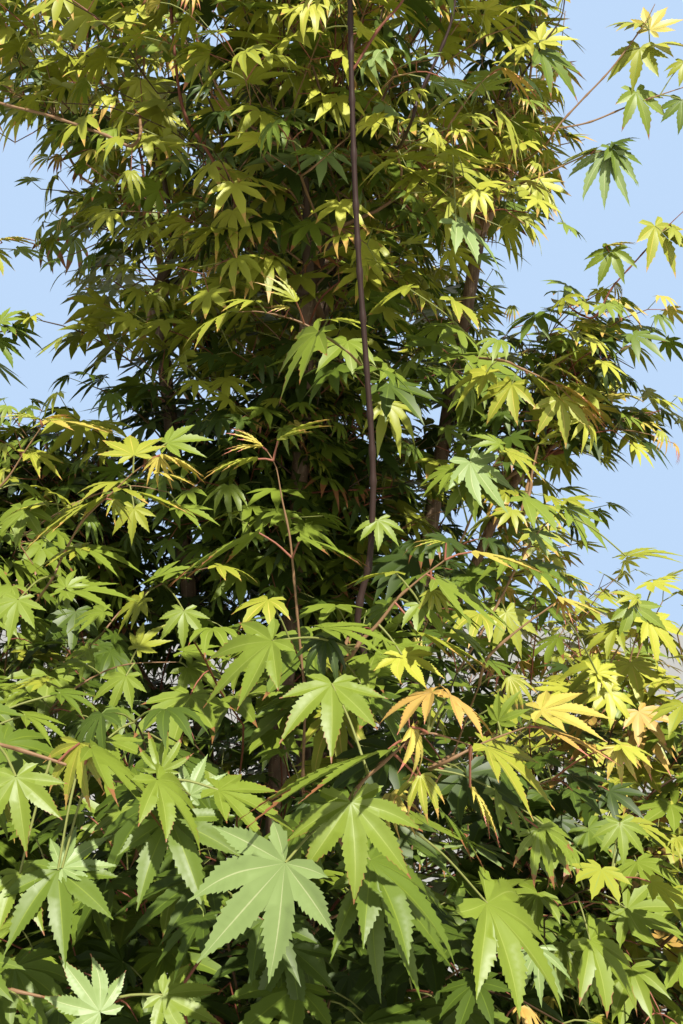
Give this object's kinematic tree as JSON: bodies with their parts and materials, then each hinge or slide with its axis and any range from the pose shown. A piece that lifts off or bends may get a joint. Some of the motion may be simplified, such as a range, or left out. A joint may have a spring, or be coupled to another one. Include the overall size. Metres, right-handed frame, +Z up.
{
  "type": "japanese maple tree",
  "caption": "Young green japanese maple with a low-forking trunk, rising stems, boughs and layered masses of palm-shaped leaves over a wide skirt.",
  "frame": {"origin": "centre of the flat cut under the trunk, at ground level", "axes": "+Z up along the trunk, -Y towards the side seen in the picture, +X to the right of it"},
  "size_m": [1.8542, 1.8454, 2.5095],
  "materials": {
    "bark": "grey-brown bark, finely fissured",
    "young_bark": "smooth tan to red-brown young bark",
    "foliage": "thin satin leaves, light green with orange tips"
  },
  "bodies": {
    "root": {"trunk": "bark", "stem_centre": "bark", "stem_left": "bark", "stem_right": "bark", "stem_front": "bark", "stem_back": "bark", "bough_front": "young_bark", "bough_front_right": "young_bark", "bough_left": "young_bark", "bough_front_left": "young_bark", "bough_right": "young_bark", "bough_back_right": "young_bark", "bough_back": "young_bark", "bough_back_left": "young_bark", "bough_mid_left": "young_bark", "bough_mid_right": "young_bark", "skirt_right": "foliage", "skirt_back_right": "foliage", "skirt_back": "foliage", "skirt_back_left": "foliage", "skirt_left": "foliage", "skirt_front_left": "foliage", "skirt_front": "foliage", "skirt_front_right": "foliage", "mid_core_front": "foliage", "mid_core_back": "foliage", "mid_left": "foliage", "mid_right": "foliage", "upper_left": "foliage", "upper_right": "foliage", "upper_front": "foliage", "upper_back": "foliage", "top": "foliage"}
  },
  "joints": []
}
